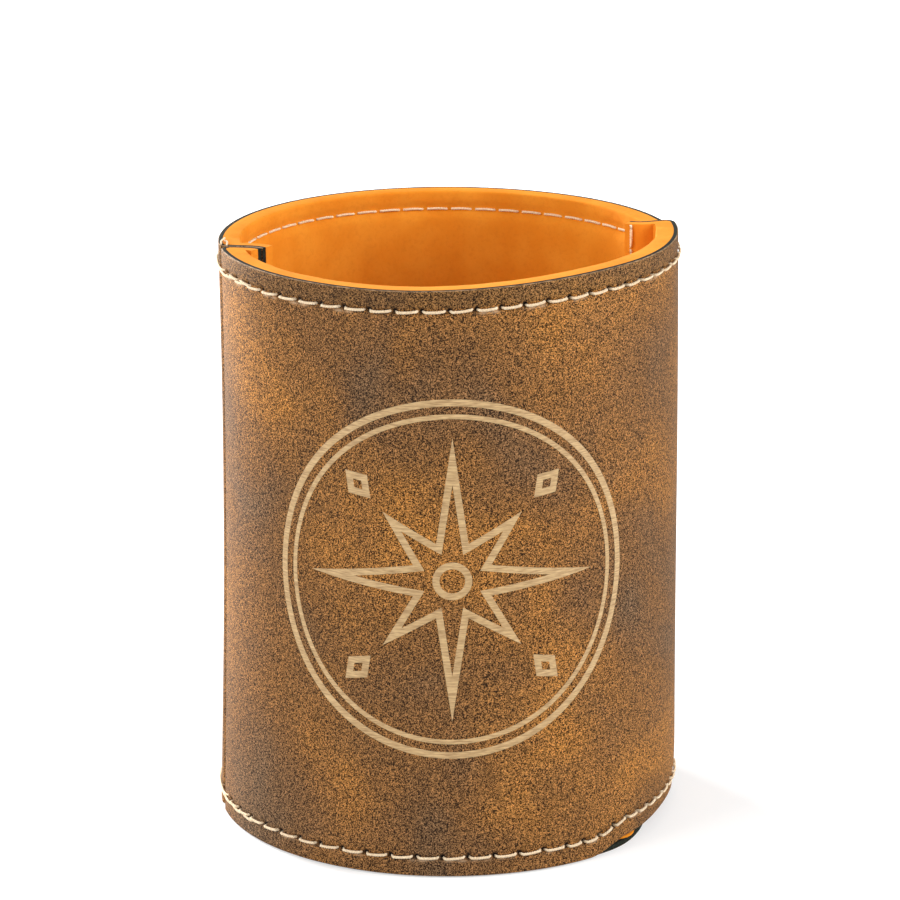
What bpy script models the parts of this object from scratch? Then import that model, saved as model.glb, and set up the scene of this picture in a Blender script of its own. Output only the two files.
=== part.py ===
"""Can cooler sleeve: two sewn leatherette and foam panels round a flat base.

Metres, +Z up. The side seams are at +X and -X, and the engraved panel faces -Y.
The origin is under the middle of the base, on the surface that the sleeve stands on.
"""

import math

import bpy
import bmesh
from mathutils import Vector

# Driving dimensions
WALL_HEIGHT = 0.0959
HALF_WIDTH = 0.0373
HALF_DEPTH = 0.0373
WIDTH_FLARE = 0.0008
DEPTH_FLARE = 0.0006
COVER_THICKNESS = 0.0009
FOAM_THICKNESS = 0.0024
GLUE_GAP = 0.0003

# Side seams: the panels' ends turn inward and lie face to face
FOLD_RADIUS = 0.0016
ALLOWANCE_TAIL = 0.0024
CROTCH_MARGIN = 0.0003
PINCHED_FOAM = 0.001
LEFT_SEAM_HEADING = math.radians(-18)
LEFT_SEAM_BEND = math.radians(-36)
RIGHT_SEAM_HEADING = math.radians(190)
RIGHT_SEAM_BEND = math.radians(-48)
VALLEY_DEPTH = 0.0012

# Walls: how far their bottom edge is clear of the surface under the base
WALL_CLEAR = 0.0002
HEM_RUN = 0.0012

# Right side: the walls ride up on the base there, and their edge turns in
RIDE_HEIGHT = 0.0017
RIDE_MIDDLE = math.radians(88)
RIDE_HALF = math.radians(61)
RIDE_EASE = math.radians(13)
RIDE_FADE = 0.016
RIDE_EVEN = 1.3
TUCK_DEPTH = 0.0017
TUCK_ANGLE = math.radians(62)
TUCK_SPREAD = math.radians(18)

# Rim: the front panel stands higher and higher towards the right seam
RISE_HEIGHT = 0.0015
RISE_MIDDLE = math.radians(5)
RISE_HALF = math.radians(35)

# Base: angles run round from the front, -Y, towards +X
BASE_EDGE = 0.00015
BASE_SHY = 0.0024
SHY_ANGLE = math.radians(68)
SHY_SPREAD = math.radians(20)
LINING_SHY = 0.0019
BASE_NOTCH = 0.0018
NOTCH_ANGLE = math.radians(-90)
NOTCH_SPREAD = math.radians(9)
LIP_THICKNESS = 0.0004
LIP_REACH = 0.0027
LIP_ANGLE = math.radians(44)
LIP_SPREAD = math.radians(7.5)
LINING_CLEARANCE = 0.0004
SEAM_ROOM = 0.0062
SEAM_ROOM_SPREAD = math.radians(9)

# Stitch rows
ROW_INSET = 0.0032
ROW_GROOVE_WIDTH = 0.0012
ROW_GROOVE_DEPTH = 0.0005
THREAD_RADIUS = 0.00024
STITCH_PITCH = 0.0039
STITCH_DIP = 0.00022
STITCH_RISE = 0.2
ROW_END_MARGIN = 0.001
BOBBIN_RADIUS = 0.0002

# Seam threads
SEAM_THREAD_RADIUS = 0.00025

# Engraving, in the middle of the face that looks at -Y, turned a little to -X
EMBLEM_RADIUS = 0.0295
EMBLEM_HEIGHT = 0.0497
EMBLEM_TURN = math.radians(-9)
EMBLEM_LINE = 0.0011
EMBLEM_THIN_LINE = 0.00077
EMBLEM_SUNK = 0.00006
EMBLEM_DEPTH = 0.0002
EMBLEM_MARGIN = 0.0003
EMBLEM_CUT_ABOVE = 0.001
EMBLEM_RING_STEP = 0.0024
EMBLEM_RING_STEPS = 40
EMBLEM_HUB_STEPS = 12
EMBLEM_EDGE_STEPS = 3
EMBLEM_LONG_POINT = 0.0233
EMBLEM_SHORT_POINT = 0.0155
EMBLEM_WAIST = 0.0066
EMBLEM_HUB = 0.0031
EMBLEM_DIAMOND_REACH = 0.0213
EMBLEM_DIAMOND_LONG = 0.003
EMBLEM_DIAMOND_WIDE = 0.0022

# Fineness of the curved outlines
ARC_STEP = math.radians(7.5)
FOLD_STEPS = 4
BEND_STEPS = 2
STRAIGHT_STEPS = 3
DISC_STEPS = 56
TUBE_SIDES = 4
SHARP_ANGLE = math.radians(35)

# How far in from the body's radius a point still counts as on the walls' face, or in the walls
FACE_BAND = 0.0011
WALL_BAND = 0.0045

# Levels that follow from the dimensions above
WALL_BOTTOM = WALL_CLEAR
WALL_TOP = WALL_BOTTOM + WALL_HEIGHT
LINING_BOTTOM = COVER_THICKNESS + GLUE_GAP
FOAM_OUT = COVER_THICKNESS + GLUE_GAP
FOAM_IN = FOAM_OUT + FOAM_THICKNESS
TOP_ROW = WALL_TOP - ROW_INSET
BOTTOM_ROW = WALL_BOTTOM + ROW_INSET
BASE_TOP = BOTTOM_ROW - BOBBIN_RADIUS - GLUE_GAP
BODY_RADIUS = (HALF_WIDTH + HALF_DEPTH) / 2
SEAT_RADIUS = BODY_RADIUS - COVER_THICKNESS - GLUE_GAP

FRONT = -1
BACK = 1


def clear_scene():
    for item in list(bpy.data.objects):
        bpy.data.objects.remove(item, do_unlink=True)


def smooth_material(name, colour, roughness, metallic=0.0):
    material = bpy.data.materials.new(name)
    material.use_nodes = True
    shader = material.node_tree.nodes["Principled BSDF"]
    shader.inputs["Base Color"].default_value = (*colour, 1.0)
    shader.inputs["Roughness"].default_value = roughness
    shader.inputs["Metallic"].default_value = metallic
    material.diffuse_color = (*colour, 1.0)
    return material


def leatherette(name):
    return smooth_material(name, (0.21, 0.11, 0.055), 0.6)


def foam(name):
    return smooth_material(name, (0.95, 0.4, 0.08), 0.85)


def cotton(name):
    return smooth_material(name, (0.93, 0.82, 0.62), 0.8)


def gilt(name):
    return smooth_material(name, (0.62, 0.44, 0.22), 0.5)


def widen(x, y, z):
    """The place of an outline's point at a height: the walls flare a little towards the bottom."""
    flare = min(max((WALL_TOP - z) / WALL_HEIGHT, 0.0), 1.0)
    half_width = HALF_WIDTH + WIDTH_FLARE * flare
    half_depth = HALF_DEPTH + DEPTH_FLARE * flare
    return x * half_width / BODY_RADIUS, y * half_depth / BODY_RADIUS, z


def hump(angle, middle, spread):
    """A smooth rise from 0 to 1 and back, as an angle passes a middle."""
    share = ((angle - middle + math.pi) % math.tau - math.pi) / spread
    return math.exp(-share * share)


def ride_share(angle):
    """How fully the walls ride up on the base at an angle, from 0 to 1."""
    share = min(max((RIDE_HALF - abs(angle - RIDE_MIDDLE)) / RIDE_EASE, 0.0), 1.0)
    return share * share * (3 - 2 * share)


def rise_share(angle, panel):
    """How fully a panel's rim stands up at an angle, from 0 to 1."""
    share = min(max((angle - RISE_MIDDLE) / RISE_HALF, -1.0), 1.0) / 2 + 0.5
    return share * share * (3 - 2 * share) if panel == FRONT else 0.0


def on_wall(x, y, z, panel):
    """The place of a wall's point.

    The covers' bottom edge runs over the base at the seam allowances, at the right the walls
    ride up and turn in, and there the front panel also stands higher.
    """
    radius = math.hypot(x, y)
    inside = min(max((SEAT_RADIUS - radius) / HEM_RUN, 0.0), 1.0)
    z = max(z, WALL_BOTTOM + (LINING_BOTTOM - WALL_BOTTOM) * inside)
    angle = math.atan2(x, -y)
    low = max(1 - z / RIDE_FADE, 0.0)
    ride = RIDE_HEIGHT * ride_share(angle) * min(low * RIDE_EVEN, 1.0)
    tuck = TUCK_DEPTH * hump(angle, TUCK_ANGLE, TUCK_SPREAD) * low**4
    rise = RISE_HEIGHT * rise_share(angle, panel) * z / WALL_TOP
    share = 1 - tuck / radius
    return widen(x * share, y * share, z + ride + rise)


# Outlines seen from above


def seam_valley(side):
    """Where two panels' faces part at a seam, and the heading of the seam from there inward."""
    heading = RIGHT_SEAM_HEADING if side > 0 else LEFT_SEAM_HEADING
    return (side * (BODY_RADIUS - VALLEY_DEPTH), 0.0), heading


def seam_normal(heading, panel):
    """The unit normal of a seam on the side of one panel."""
    normal = (-math.sin(heading), math.cos(heading))
    return normal if normal[1] * panel > 0 else (-normal[0], -normal[1])


def offset_point(point, direction, distance):
    return point[0] + direction[0] * distance, point[1] + direction[1] * distance


def crotch_reach(side, panel):
    """How far inward from the valley the lining of an allowance parts from the body's own lining."""
    valley, heading = seam_valley(side)
    start = offset_point(valley, seam_normal(heading, panel), GLUE_GAP / 2 + FOAM_OUT + PINCHED_FOAM)
    outward = (-math.cos(heading), -math.sin(heading))
    return -line_meets_circle(start, outward, BODY_RADIUS - FOAM_IN)


def allowance_line(side, panel, depth):
    """A surface of a panel's allowance, from its tip to the end of its straight part.

    depth is the distance behind the panel's face.
    """
    valley, heading = seam_valley(side)
    bend = RIGHT_SEAM_BEND if side > 0 else LEFT_SEAM_BEND
    normal_turn = 1 if seam_normal(heading, panel)[0] == -math.sin(heading) else -1
    straight = max(crotch_reach(side, FRONT), crotch_reach(side, BACK)) + CROTCH_MARGIN
    inward = (math.cos(heading), math.sin(heading))
    shares = [index / STRAIGHT_STEPS for index in range(1, STRAIGHT_STEPS + 1)]
    line = [(offset_point(valley, inward, straight * share), heading) for share in shares]
    point = line[-1][0]
    for index in range(BEND_STEPS):
        middle = heading + bend * (index + 0.5) / BEND_STEPS
        point = offset_point(point, (math.cos(middle), math.sin(middle)), ALLOWANCE_TAIL / BEND_STEPS)
        line.append((point, heading + bend * (index + 1) / BEND_STEPS))
    distance = normal_turn * (GLUE_GAP / 2 + depth)
    return [offset_point(point, (-math.sin(turn), math.cos(turn)), distance) for point, turn in reversed(line)]


def line_meets_circle(start, direction, radius):
    """How far along a line it last crosses a circle round the origin."""
    half = start[0] * direction[0] + start[1] * direction[1]
    rest = start[0] ** 2 + start[1] ** 2 - radius**2
    return -half + math.sqrt(half * half - rest)


def fold_end(side, panel, depth):
    """A surface's end at one seam, from the tip of its allowance round the fold to the body.

    It gives the points and the angle of the body's circle at which they join it.
    """
    valley, heading = seam_valley(side)
    normal = seam_normal(heading, panel)
    outward = (-math.cos(heading), -math.sin(heading))
    start = offset_point(valley, normal, GLUE_GAP / 2 + FOLD_RADIUS)
    centre = offset_point(start, outward, line_meets_circle(start, outward, BODY_RADIUS - FOLD_RADIUS))
    first = math.atan2(-normal[1], -normal[0])
    last = math.atan2(centre[1], centre[0])
    turn = (last - first + math.pi) % math.tau - math.pi
    points = allowance_line(side, panel, depth)
    for index in range(FOLD_STEPS + 1):
        angle = first + turn * index / FOLD_STEPS
        points.append(offset_point(centre, (math.cos(angle), math.sin(angle)), FOLD_RADIUS - depth))
    return points, last


def crotch_end(side, panel):
    """A lining's inner surface at one seam: along the allowance to where it meets the body's lining."""
    valley, heading = seam_valley(side)
    depth = FOAM_OUT + PINCHED_FOAM
    start = offset_point(valley, seam_normal(heading, panel), GLUE_GAP / 2 + depth)
    inward = (math.cos(heading), math.sin(heading))
    corner = offset_point(start, inward, crotch_reach(side, panel))
    return allowance_line(side, panel, depth) + [corner], math.atan2(corner[1], corner[0])


def body_arc(first, last, panel, radius):
    """Points of the body's circle between two angles, the short way round the panel's middle."""
    middle = panel * math.pi / 2
    first_turn = (first - middle + math.pi) % (2 * math.pi) - math.pi
    last_turn = (last - middle + math.pi) % (2 * math.pi) - math.pi
    count = max(2, round(abs(last_turn - first_turn) / ARC_STEP))
    return [
        (
            radius * math.cos(middle + first_turn + (last_turn - first_turn) * index / count),
            radius * math.sin(middle + first_turn + (last_turn - first_turn) * index / count),
        )
        for index in range(1, count)
    ]


def sheet_line(panel, depth):
    """One surface of a panel that follows the fold at both seams."""
    left, left_angle = fold_end(-1, panel, depth)
    right, right_angle = fold_end(1, panel, depth)
    arc = body_arc(left_angle, right_angle, panel, BODY_RADIUS - depth)
    return left + arc + right[::-1]


def lining_line(panel):
    """The lining's inner surface, with a sharp crotch at both seams."""
    left, left_angle = crotch_end(-1, panel)
    right, right_angle = crotch_end(1, panel)
    arc = body_arc(left_angle, right_angle, panel, BODY_RADIUS - FOAM_IN)
    return left + arc + right[::-1]


def body_only(line, panel, margin):
    """The stretch of a surface that runs round the body, clear of the seams by a margin."""
    kept = []
    for x, y in line:
        if panel * y > FOLD_RADIUS + margin and math.hypot(x, y) > BODY_RADIUS - WALL_BAND:
            kept.append((x, y))
    return kept


# Solids


def object_from(mesh_data, name, material):
    mesh = bpy.data.meshes.new(name)
    bmesh.ops.recalc_face_normals(mesh_data, faces=mesh_data.faces)
    mesh_data.to_mesh(mesh)
    mesh_data.free()
    mesh.materials.append(material)
    mesh.shade_smooth()
    mesh.set_sharp_from_angle(angle=SHARP_ANGLE)
    item = bpy.data.objects.new(name, mesh)
    bpy.context.scene.collection.objects.link(item)
    return item


def side_faces(data, loops):
    """Quads between closed loops of the same count, one after the other."""
    count = len(loops[0])
    for lower, upper in zip(loops, loops[1:]):
        for index in range(count):
            following = (index + 1) % count
            data.faces.new((lower[index], lower[following], upper[following], upper[index]))


def loft(name, rings, material):
    """A solid through closed convex rings of points, one above the other, capped at both ends."""
    data = bmesh.new()
    loops = [[data.verts.new(point) for point in ring] for ring in rings]
    side_faces(data, loops)
    data.faces.new(loops[0][::-1])
    data.faces.new(loops[-1])
    return object_from(data, name, material)


def ribbon_triangles(outer, inner):
    """Triangles across a bent sheet's section, each step taken on the side with the shorter diagonal.

    A corner is a number in the outline that runs along the outer line and back along the inner one.
    """
    last = len(outer) + len(inner) - 1
    here = 0
    there = 0
    triangles = []
    while here < len(outer) - 1 or there < len(inner) - 1:
        ahead = math.dist(outer[min(here + 1, len(outer) - 1)], inner[there])
        across = math.dist(outer[here], inner[min(there + 1, len(inner) - 1)])
        if there == len(inner) - 1 or (here < len(outer) - 1 and ahead <= across):
            triangles.append((here, here + 1, last - there))
            here += 1
        else:
            triangles.append((here, last - there - 1, last - there))
            there += 1
    return triangles


def bent_sheet(name, panel, levels, material):
    """A standing sheet of any section, from the height, the outer line and the inner line of each level."""
    data = bmesh.new()
    loops = []
    for z, outer, inner in levels:
        loops.append([data.verts.new(on_wall(x, y, z, panel)) for x, y in outer + inner[::-1]])
    side_faces(data, loops)
    for loop, (_, outer, inner) in ((loops[0], levels[0]), (loops[-1], levels[-1])):
        for corners in ribbon_triangles(outer, inner):
            data.faces.new([loop[corner] for corner in corners])
    return object_from(data, name, material)


def groove_levels(rows):
    """Heights of a wall's rings and how deep the groove is at each."""
    half = ROW_GROOVE_WIDTH / 2
    floor = half - ROW_GROOVE_DEPTH / 2
    levels = [(WALL_BOTTOM, 0.0)]
    for row in rows:
        levels += [(row - half, 0.0), (row - floor, 1.0), (row + floor, 1.0), (row + half, 0.0)]
    levels += [(RIDE_FADE, 0.0), (WALL_TOP, 0.0)]
    return sorted(levels)


def moved_in(line, distance):
    """An outline moved towards the inside of the sleeve, only where it runs round the body."""
    moved = []
    for x, y in line:
        radius = math.hypot(x, y)
        on_face = radius > BODY_RADIUS - FACE_BAND and abs(y) > FOLD_RADIUS + ROW_END_MARGIN
        share = 1 - distance / radius if on_face else 1.0
        moved.append((x * share, y * share))
    return moved


def cover(name, panel):
    face = sheet_line(panel, 0.0)
    back = sheet_line(panel, COVER_THICKNESS)
    levels = [
        (z, moved_in(face, share * ROW_GROOVE_DEPTH), back) for z, share in groove_levels((BOTTOM_ROW, TOP_ROW))
    ]
    return bent_sheet(name, panel, levels, leatherette(name))


def lining(name, panel):
    outer = sheet_line(panel, FOAM_OUT)
    inner = lining_line(panel)
    heights = (LINING_BOTTOM, RIDE_FADE, WALL_TOP)
    return bent_sheet(name, panel, [(z, outer, inner) for z in heights], foam(name))


def base_radius(angle):
    """The base's outline: just inside the walls, drawn in at the right and at the left seam."""
    shy = BASE_SHY * hump(angle, SHY_ANGLE, SHY_SPREAD)
    return SEAT_RADIUS - shy - BASE_NOTCH * hump(angle, NOTCH_ANGLE, NOTCH_SPREAD)


def base_lining_radius(angle):
    """The outline of the base's foam, inside the walls' foam and cut back at the seam allowances."""
    room = BODY_RADIUS - FOAM_IN - LINING_CLEARANCE
    room -= LINING_SHY * hump(angle, SHY_ANGLE, SHY_SPREAD)
    seams = max(hump(angle, turn * math.pi / 2, SEAM_ROOM_SPREAD) for turn in (-1, 1))
    return room - SEAM_ROOM * seams


def lip_radius(angle):
    """The outline of the thin foam left on the base's edge, which shows where the walls ride up."""
    return base_lining_radius(angle) + LIP_REACH * hump(angle, LIP_ANGLE, LIP_SPREAD)


def disc_ring(radius_of, z):
    ring = []
    for index in range(DISC_STEPS):
        angle = math.tau * index / DISC_STEPS - math.pi
        radius = radius_of(angle)
        ring.append(widen(radius * math.sin(angle), -radius * math.cos(angle), z))
    return ring


def base_cover():
    rings = [
        disc_ring(lambda angle: base_radius(angle) - BASE_EDGE, 0.0),
        disc_ring(base_radius, BASE_EDGE),
        disc_ring(base_radius, COVER_THICKNESS),
    ]
    return loft("base_cover", rings, leatherette("base_cover"))


def base_lining():
    lip_top = LINING_BOTTOM + LIP_THICKNESS
    rings = [
        disc_ring(lip_radius, LINING_BOTTOM),
        disc_ring(lip_radius, lip_top),
        disc_ring(base_lining_radius, lip_top),
        disc_ring(base_lining_radius, BASE_TOP),
    ]
    return loft("base_lining", rings, foam("base_lining"))


def tube(name, route, radius, material):
    """A closed tube of few sides along a route of points."""
    data = bmesh.new()
    loops = []
    for index, point in enumerate(route):
        before = route[max(index - 1, 0)]
        after = route[min(index + 1, len(route) - 1)]
        along = (Vector(after) - Vector(before)).normalized()
        up = Vector((0, 0, 1)) if abs(along.z) < 0.9 else Vector((0, 1, 0))
        across = along.cross(up).normalized()
        rise = across.cross(along).normalized()
        loop = []
        for corner in range(TUBE_SIDES):
            angle = math.tau * corner / TUBE_SIDES
            loop.append(
                data.verts.new(Vector(point) + (across * math.cos(angle) + rise * math.sin(angle)) * radius)
            )
        loops.append(loop)
    side_faces(data, loops)
    data.faces.new(loops[0][::-1])
    data.faces.new(loops[-1])
    return object_from(data, name, material)


def along_line(line, step_lengths):
    """Points at given lengths along an outline, each with its outward normal."""
    found = []
    index = 0
    passed = 0.0
    for wanted in step_lengths:
        while index < len(line) - 2:
            length = math.dist(line[index], line[index + 1])
            if passed + length >= wanted:
                break
            passed += length
            index += 1
        first = line[index]
        second = line[index + 1]
        length = math.dist(first, second)
        share = (wanted - passed) / length
        x = first[0] + (second[0] - first[0]) * share
        y = first[1] + (second[1] - first[1]) * share
        radius = math.hypot(x, y)
        found.append((x, y, x / radius, y / radius))
    return found


def line_length(line):
    return sum(math.dist(a, b) for a, b in zip(line, line[1:]))


def needle_row(name, panel, z):
    """The outer thread of a stitch row: it lies in the groove and dips at each needle hole."""
    line = body_only(moved_in(sheet_line(panel, 0.0), ROW_GROOVE_DEPTH), panel, 2 * ROW_END_MARGIN)
    length = line_length(line)
    stitches = round(length / STITCH_PITCH)
    lengths = []
    heights = []
    for stitch in range(stitches):
        for share, height in ((0.0, 0.0), (STITCH_RISE, 1.0), (1 - STITCH_RISE, 1.0)):
            lengths.append(length * (stitch + share) / stitches)
            heights.append(height)
    lengths.append(length)
    heights.append(0.0)
    lift = GLUE_GAP + THREAD_RADIUS
    route = []
    for (x, y, nx, ny), height in zip(along_line(line, lengths), heights):
        out = lift + STITCH_DIP * height
        route.append(on_wall(x + nx * out, y + ny * out, z, panel))
    return tube(name, route, THREAD_RADIUS, cotton(name))


def bobbin_row(name, panel, z):
    """The inner thread of a stitch row, drawn tight on the foam."""
    line = body_only(lining_line(panel), panel, 2 * ALLOWANCE_TAIL)
    length = line_length(line)
    steps = round(length / STITCH_PITCH)
    route = []
    for x, y, nx, ny in along_line(line, [length * index / steps for index in range(steps + 1)]):
        inward = GLUE_GAP + BOBBIN_RADIUS
        route.append(on_wall(x - nx * inward, y - ny * inward, z, panel))
    return tube(name, route, BOBBIN_RADIUS, cotton(name))


def seam_thread(name, side, panel):
    """The thread that closes a side seam, drawn tight on the foam of one allowance."""
    line = allowance_line(side, panel, FOAM_OUT + PINCHED_FOAM + GLUE_GAP + SEAM_THREAD_RADIUS)
    x = (line[0][0] + line[1][0]) / 2
    y = (line[0][1] + line[1][1]) / 2
    low = BASE_TOP + GLUE_GAP
    steps = round((WALL_TOP - low) / (3 * STITCH_PITCH))
    heights = [low + (WALL_TOP - low) * index / steps for index in range(steps + 1)]
    return tube(name, [on_wall(x, y, z, panel) for z in heights], SEAM_THREAD_RADIUS, cotton(name))


# Engraving


def ring_band(radius, width, count=EMBLEM_RING_STEPS):
    """The two edges of a ring, in the flat of the panel."""
    turns = [math.tau * index / count for index in range(count)]
    outer = [(radius * math.cos(turn), radius * math.sin(turn)) for turn in turns]
    inner = [((radius - width) * math.cos(turn), (radius - width) * math.sin(turn)) for turn in turns]
    return outer, inner


def edge_offset(corners, distance):
    """A closed outline, anticlockwise, with every edge moved inward by a distance."""
    moved = []
    count = len(corners)
    for index in range(count):
        before = Vector(corners[index - 1])
        here = Vector(corners[index])
        after = Vector(corners[(index + 1) % count])
        first = (here - before).normalized()
        second = (after - here).normalized()
        inward = (Vector((-first.y, first.x)) + Vector((-second.y, second.x))).normalized()
        share = inward.dot(Vector((-first.y, first.x)))
        moved.append(tuple(here + inward * distance / share))
    return moved


def divided(corners, parts):
    """A closed outline with each edge cut into equal parts."""
    points = []
    for index, (x, y) in enumerate(corners):
        next_x, next_y = corners[(index + 1) % len(corners)]
        for part in range(parts):
            share = part / parts
            points.append((x + (next_x - x) * share, y + (next_y - y) * share))
    return points


def outline_band(corners, width, parts):
    return divided(corners, parts), divided(edge_offset(corners, width), parts)


def star_corners(long_point, short_point, waist):
    corners = []
    for index in range(16):
        radius = waist if index % 2 else (short_point if index % 4 == 2 else long_point)
        turn = math.tau * index / 16
        corners.append((radius * math.sin(-turn), radius * math.cos(turn)))
    return corners


def diamond_corners(distance, turn, half_long, half_wide):
    """A small diamond whose long axis points away from the middle."""
    corners = []
    for along, across in ((half_long, 0.0), (0.0, half_wide), (-half_long, 0.0), (0.0, -half_wide)):
        x = distance + along
        corners.append(
            (x * math.cos(turn) - across * math.sin(turn), x * math.sin(turn) + across * math.cos(turn))
        )
    return corners


def grown(band, margin):
    """A band with both of its edges moved apart by a margin."""
    outer, inner = band
    return edge_offset(outer, -margin), edge_offset(inner, margin)


def on_cover(point, depth):
    """A flat point of the engraving, wrapped on the front cover at a depth below its face."""
    turn = EMBLEM_TURN + point[0] / BODY_RADIUS
    radius = BODY_RADIUS - depth
    return widen(radius * math.sin(turn), -radius * math.cos(turn), EMBLEM_HEIGHT + point[1])


def wrap_band(data, band, top, floor):
    """Adds a closed band between two depths, wrapped on the front cover."""
    outer, inner = band
    loops = [
        [data.verts.new(on_cover(point, depth)) for point in edge]
        for edge, depth in ((outer, top), (inner, top), (inner, floor), (outer, floor))
    ]
    side_faces(data, loops + [loops[0]])


def emblem_bands():
    """The engraving's shapes, by name: two rings, an eight-pointed star with its hub, and four diamonds."""
    star = star_corners(EMBLEM_LONG_POINT, EMBLEM_SHORT_POINT, EMBLEM_WAIST)
    bands = {
        "emblem_ring": ring_band(EMBLEM_RADIUS, EMBLEM_LINE),
        "emblem_inner_ring": ring_band(EMBLEM_RADIUS - EMBLEM_RING_STEP, EMBLEM_THIN_LINE),
        "emblem_star": outline_band(star, EMBLEM_LINE, EMBLEM_EDGE_STEPS),
        "emblem_hub": ring_band(EMBLEM_HUB, EMBLEM_LINE, EMBLEM_HUB_STEPS),
    }
    for index in range(4):
        turn = math.pi / 4 + index * math.pi / 2
        corners = diamond_corners(EMBLEM_DIAMOND_REACH, turn, EMBLEM_DIAMOND_LONG, EMBLEM_DIAMOND_WIDE)
        bands[f"emblem_diamond_{index + 1}"] = outline_band(corners, EMBLEM_LINE, 1)
    return bands


def engrave(front_cover):
    """The engraved layer's shapes, each in a recess of the front cover."""
    recesses = bmesh.new()
    floor = EMBLEM_SUNK + EMBLEM_DEPTH
    for name, band in emblem_bands().items():
        data = bmesh.new()
        wrap_band(data, band, EMBLEM_SUNK, floor)
        object_from(data, name, gilt(name))
        wrap_band(recesses, grown(band, EMBLEM_MARGIN), -EMBLEM_CUT_ABOVE, floor + EMBLEM_MARGIN)
    cutter = object_from(recesses, "emblem_cutter", gilt("emblem_cutter"))
    cutter.hide_render = True
    cutter.display_type = "WIRE"
    cut = front_cover.modifiers.new("engraving", "BOOLEAN")
    cut.operation = "DIFFERENCE"
    cut.solver = "EXACT"
    cut.object = cutter


def main():
    clear_scene()
    engrave(cover("front_cover", FRONT))
    cover("back_cover", BACK)
    lining("front_lining", FRONT)
    lining("back_lining", BACK)
    base_cover()
    base_lining()
    for panel_name, panel in (("front", FRONT), ("back", BACK)):
        for row_name, z in (("top", TOP_ROW), ("bottom", BOTTOM_ROW)):
            needle_row(f"{panel_name}_{row_name}_thread", panel, z)
            bobbin_row(f"{panel_name}_{row_name}_bobbin", panel, z)
    seam_thread("left_seam_thread", -1, BACK)
    seam_thread("right_seam_thread", 1, FRONT)


main()
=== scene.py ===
import math

import bpy
import bmesh
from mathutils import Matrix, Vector, noise


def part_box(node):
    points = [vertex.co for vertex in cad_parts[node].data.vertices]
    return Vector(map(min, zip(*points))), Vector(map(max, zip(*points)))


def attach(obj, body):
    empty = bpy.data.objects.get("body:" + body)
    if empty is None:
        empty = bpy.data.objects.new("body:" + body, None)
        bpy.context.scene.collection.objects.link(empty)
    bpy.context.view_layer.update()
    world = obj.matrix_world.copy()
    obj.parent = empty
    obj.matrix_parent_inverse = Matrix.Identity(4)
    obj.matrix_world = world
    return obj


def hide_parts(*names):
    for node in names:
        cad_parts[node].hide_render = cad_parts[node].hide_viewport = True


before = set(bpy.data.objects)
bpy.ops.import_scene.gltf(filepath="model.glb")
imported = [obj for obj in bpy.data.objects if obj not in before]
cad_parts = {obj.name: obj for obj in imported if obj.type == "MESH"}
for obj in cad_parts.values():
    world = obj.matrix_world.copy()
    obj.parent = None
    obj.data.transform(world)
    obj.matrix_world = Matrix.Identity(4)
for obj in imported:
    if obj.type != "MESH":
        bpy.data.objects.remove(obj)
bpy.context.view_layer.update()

# The sleeve's sizes in metres. The leatherette is thinner and the foam thicker than in the CAD,
# which leaves a gap between them
WALL_HEIGHT = 0.0959
WALL_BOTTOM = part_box("front_cover")[0][2]
WALL_TOP = WALL_BOTTOM + WALL_HEIGHT
BODY_RADIUS = 0.0373
WIDTH_FLARE = 0.0008
DEPTH_FLARE = 0.0006
LEATHER = 0.00075
FOAM = 0.00275
SKIN_GAP = 0.00003
SEAM_GAP = 0.0002
WOBBLE = 0.00018
FOLD_RADIUS = 0.0016
PINCHED_FOAM = 0.0015
VALLEY_DEPTH = 0.0012
SEAMS = {-1: (math.radians(-18), math.radians(-36)), 1: (math.radians(190), math.radians(-48))}
ALLOWANCE_STRAIGHT = 0.0036
ALLOWANCE_TAIL = 0.0024

# Edges: how they are rounded, how high the pale line of the skin is, and where the covers' rings lie
COVER_ROUNDING = 0.00018
FOAM_ROUNDING = 0.00028
SKIN_LINE = 0.00012
EDGE_RINGS = (0.0, 0.00004, 0.0001, COVER_ROUNDING, 0.0005, 0.0012)
MIDDLE_RINGS = 42

# Bottom: the walls' leatherette goes down round the base, and at the right they ride up on it
BASE_LEATHER = 0.0009
FOAM_BOTTOM = BASE_LEATHER + SKIN_GAP
HEM_TOP = 0.0028
HEM_RUN = 0.0012
RIDE_HEIGHT = 0.0017
RIDE_MIDDLE = math.radians(88)
RIDE_HALF = math.radians(61)
RIDE_EASE = math.radians(13)
RIDE_FADE = 0.016
RIDE_EVEN = 1.3
TUCK_DEPTH = 0.0011
TUCK_ANGLE = math.radians(62)
TUCK_SPREAD = math.radians(18)

# Rim: the front panel stands higher and higher towards the right seam
RISE_HEIGHT = 0.0015
RISE_MIDDLE = math.radians(5)
RISE_HALF = math.radians(35)

# Left side: slightly hollow halfway up
HOLLOW_DEPTH = 0.0006
HOLLOW_ANGLE = math.radians(-97)
HOLLOW_SPREAD = math.radians(32)

# Base: angles run round from the front, -Y, towards +X
SEAT_RADIUS = BODY_RADIUS - LEATHER - SKIN_GAP
BASE_SHY = 0.003
SHY_ANGLE = math.radians(68)
SHY_SPREAD = math.radians(18)
BASE_PEEP = 0.0003
PEEP_ANGLE = math.radians(38)
PEEP_SPREAD = math.radians(8)
BASE_NOTCH = 0.0018
NOTCH_ANGLE = math.radians(-90)
NOTCH_SPREAD = math.radians(9)
BASE_TOP = 0.0029
LINING_RADIUS = 0.0336
LINING_SHY = 0.0016
LIP_THICKNESS = 0.0004
LIP_REACH = 0.0031
LIP_ANGLE = math.radians(43)
LIP_SPREAD = math.radians(8)
SEAM_ROOM = 0.0062
SEAM_ROOM_SPREAD = math.radians(9)
DISC_CORNERS = 240

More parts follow.
